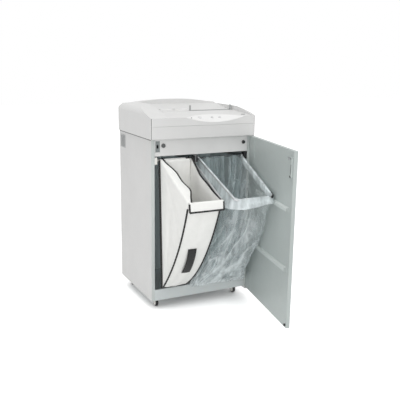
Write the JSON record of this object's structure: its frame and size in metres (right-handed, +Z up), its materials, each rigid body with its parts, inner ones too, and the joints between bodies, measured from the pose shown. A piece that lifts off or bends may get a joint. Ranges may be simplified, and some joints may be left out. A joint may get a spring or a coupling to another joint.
{
  "type": "paper shredder",
  "caption": "Floor-standing cabinet shredder on casters with a paper slot, a disc slot, a hinged door and pull-out tipping bag frames.",
  "frame": {"origin": "on the floor under the middle of the cabinet", "axes": "+X to the right seen from the front, +Y to the back, +Z up"},
  "size_m": [0.54, 0.9349, 0.978],
  "materials": {
    "cabinet_paint": "fine textured powder coat",
    "door_paint": "smooth cool grey paint",
    "head_plastic": "fine moulded grain",
    "fascia_white": "satin film",
    "button_white": "satin",
    "lens_dark": "polished",
    "throat_grey": "moulded",
    "black_plastic": "moulded",
    "plated_steel": "zinc plated",
    "cutter_steel": "ground and oiled",
    "bush_bronze": "turned",
    "motor_paint": "satin black enamel",
    "board_green": "solder mask",
    "nylon_white": "moulded nylon",
    "frame_rod": "bright nickel",
    "bag_fabric": "plain woven",
    "strap_webbing": "woven webbing",
    "bag_film": "clear film",
    "rubber_black": "moulded",
    "rubber_grey": "moulded",
    "caster_fork": "zinc plated",
    "caster_tread": "moulded tread"
  },
  "bodies": {
    "cabinet": {"cabinet_shell": "cabinet_paint", "floor_pan": "cabinet_paint", "cross_panel": "cabinet_paint", "side_vent_grille": "throat_grey", "deck_plate": "plated_steel", "waste_chutes": "plated_steel", "power_module": "black_plastic", "head_cover": "head_plastic", "control_fascia": "fascia_white", "indicator_lenses": "lens_dark", "paper_throat": "throat_grey", "disc_bezel": "head_plastic", "cutter_side_plates": "plated_steel", "tie_rods": "plated_steel", "shaft_bushes": "bush_bronze", "stripper_combs": "cutter_steel", "plate_bolts": "plated_steel", "motor_body": "motor_paint", "motor_mount": "plated_steel", "control_board": "board_green", "bag_rails": "plated_steel", "hinge_brackets": "cabinet_paint", "hinge_pins": "plated_steel", "latch_strike": "plated_steel", "door_buffer": "rubber_grey", "safety_switch": "black_plastic", "caster_plates": "plated_steel"},
    "rocker": {"main_switch_rocker": "black_plastic"},
    "start": {"start_button": "button_white"},
    "stop": {"stop_button": "button_white"},
    "reverse": {"reverse_button": "button_white"},
    "plunger": {"safety_plunger": "black_plastic"},
    "front_cutter": {"front_cutter_shaft": "cutter_steel", "front_sync_gear": "cutter_steel"},
    "rear_cutter": {"rear_cutter_shaft": "cutter_steel", "rear_sync_gear": "cutter_steel", "drive_gear": "cutter_steel"},
    "pinion": {"motor_pinion": "cutter_steel"},
    "door": {"door_panel": "door_paint", "door_liner": "door_paint", "door_stiffeners": "door_paint", "hinge_plates": "door_paint", "door_lock_body": "plated_steel", "door_stop_pad": "rubber_black"},
    "latch": {"door_latch_cam": "plated_steel"},
    "left_slide": {"left_carriage": "nylon_white", "fabric_bag": "bag_fabric", "bag_strap": "strap_webbing"},
    "right_slide": {"right_carriage": "nylon_white", "film_bag": "bag_film"},
    "left_frame": {"left_bag_frame": "frame_rod"},
    "right_frame": {"right_bag_frame": "frame_rod"},
    "fork_front_left": {"caster_fork_front_left": "caster_fork"},
    "wheel_front_left": {"caster_wheel_front_left": "caster_tread"},
    "fork_front_right": {"caster_fork_front_right": "caster_fork"},
    "wheel_front_right": {"caster_wheel_front_right": "caster_tread"},
    "fork_rear_left": {"caster_fork_rear_left": "caster_fork"},
    "wheel_rear_left": {"caster_wheel_rear_left": "caster_tread"},
    "fork_rear_right": {"caster_fork_rear_right": "caster_fork"},
    "wheel_rear_right": {"caster_wheel_rear_right": "caster_tread"}
  },
  "joints": [
    {"name": "door_hinge", "type": "hinge", "parent": "cabinet", "child": "door", "pos_m": [0.261, -0.221, 0.4], "axis": [0, 0, 1], "range_deg": [0, 35.5]},
    {"name": "latch_turn", "type": "hinge", "parent": "door", "child": "latch", "pos_m": [0.15179, -0.69503, 0.79], "axis": [-0.9833, 0.1822, 0], "range_deg": [0, 90]},
    {"name": "left_bag_slide", "type": "slide", "parent": "cabinet", "child": "left_slide", "axis": [0, 1, 0], "range_m": [0, 0.375]},
    {"name": "left_frame_tilt", "type": "hinge", "parent": "left_slide", "child": "left_frame", "pos_m": [-0.136, -0.194, 0.725], "axis": [-1, 0, 0], "range_deg": [-0.2, 23.7]},
    {"name": "right_bag_slide", "type": "slide", "parent": "cabinet", "child": "right_slide", "axis": [0, 1, 0], "range_m": [0, 0.375]},
    {"name": "right_frame_tilt", "type": "hinge", "parent": "right_slide", "child": "right_frame", "pos_m": [0.102, -0.194, 0.725], "axis": [-1, 0, 0], "range_deg": [-0.2, 19.7]},
    {"name": "start_press", "type": "slide", "parent": "cabinet", "child": "start", "axis": [0, 0.342, -0.9397], "range_m": [0, 0.002], "stiffness_N_per_m": 400},
    {"name": "stop_press", "type": "slide", "parent": "cabinet", "child": "stop", "axis": [0, 0.342, -0.9397], "range_m": [0, 0.002], "stiffness_N_per_m": 400},
    {"name": "reverse_press", "type": "slide", "parent": "cabinet", "child": "reverse", "axis": [0, 0.342, -0.9397], "range_m": [0, 0.002], "stiffness_N_per_m": 400},
    {"name": "rocker_tilt", "type": "hinge", "parent": "cabinet", "child": "rocker", "pos_m": [-0.123, 0.201, 0.79], "axis": [1, 0, 0], "range_deg": [-10, 10]},
    {"name": "plunger_press", "type": "slide", "parent": "cabinet", "child": "plunger", "axis": [0, 1, 0], "range_m": [0, 0.006], "stiffness_N_per_m": 250},
    {"name": "rear_cutter_spin", "type": "hinge", "parent": "cabinet", "child": "rear_cutter", "pos_m": [0, 0.01, 0.842], "axis": [1, 0, 0], "continuous": true},
    {"name": "front_cutter_spin", "type": "hinge", "parent": "cabinet", "child": "front_cutter", "pos_m": [0, -0.05, 0.842], "axis": [1, 0, 0], "continuous": true},
    {"name": "pinion_spin", "type": "hinge", "parent": "cabinet", "child": "pinion", "pos_m": [-0.2, 0.106, 0.842], "axis": [1, 0, 0], "continuous": true},
    {"name": "swivel_front_left", "type": "hinge", "parent": "cabinet", "child": "fork_front_left", "pos_m": [-0.215, -0.166, 0.042], "axis": [0, 0, 1], "continuous": true},
    {"name": "roll_front_left", "type": "hinge", "parent": "fork_front_left", "child": "wheel_front_left", "pos_m": [-0.215, -0.152, 0.02], "axis": [1, 0, 0], "continuous": true},
    {"name": "swivel_front_right", "type": "hinge", "parent": "cabinet", "child": "fork_front_right", "pos_m": [0.215, -0.166, 0.042], "axis": [0, 0, 1], "continuous": true},
    {"name": "roll_front_right", "type": "hinge", "parent": "fork_front_right", "child": "wheel_front_right", "pos_m": [0.215, -0.152, 0.02], "axis": [1, 0, 0], "continuous": true},
    {"name": "swivel_rear_left", "type": "hinge", "parent": "cabinet", "child": "fork_rear_left", "pos_m": [-0.215, 0.15, 0.042], "axis": [0, 0, 1], "continuous": true},
    {"name": "roll_rear_left", "type": "hinge", "parent": "fork_rear_left", "child": "wheel_rear_left", "pos_m": [-0.215, 0.164, 0.02], "axis": [1, 0, 0], "continuous": true},
    {"name": "swivel_rear_right", "type": "hinge", "parent": "cabinet", "child": "fork_rear_right", "pos_m": [0.215, 0.15, 0.042], "axis": [0, 0, 1], "continuous": true},
    {"name": "roll_rear_right", "type": "hinge", "parent": "fork_rear_right", "child": "wheel_rear_right", "pos_m": [0.215, 0.164, 0.02], "axis": [1, 0, 0], "continuous": true}
  ],
  "couplings": [
    {"joint": "left_frame_tilt", "follows": "left_bag_slide", "rad_per_m": 1.0937},
    {"joint": "right_frame_tilt", "follows": "right_bag_slide", "rad_per_m": 0.90757},
    {"joint": "front_cutter_spin", "follows": "rear_cutter_spin", "ratio": -1},
    {"joint": "pinion_spin", "follows": "rear_cutter_spin", "ratio": -3.8}
  ]
}
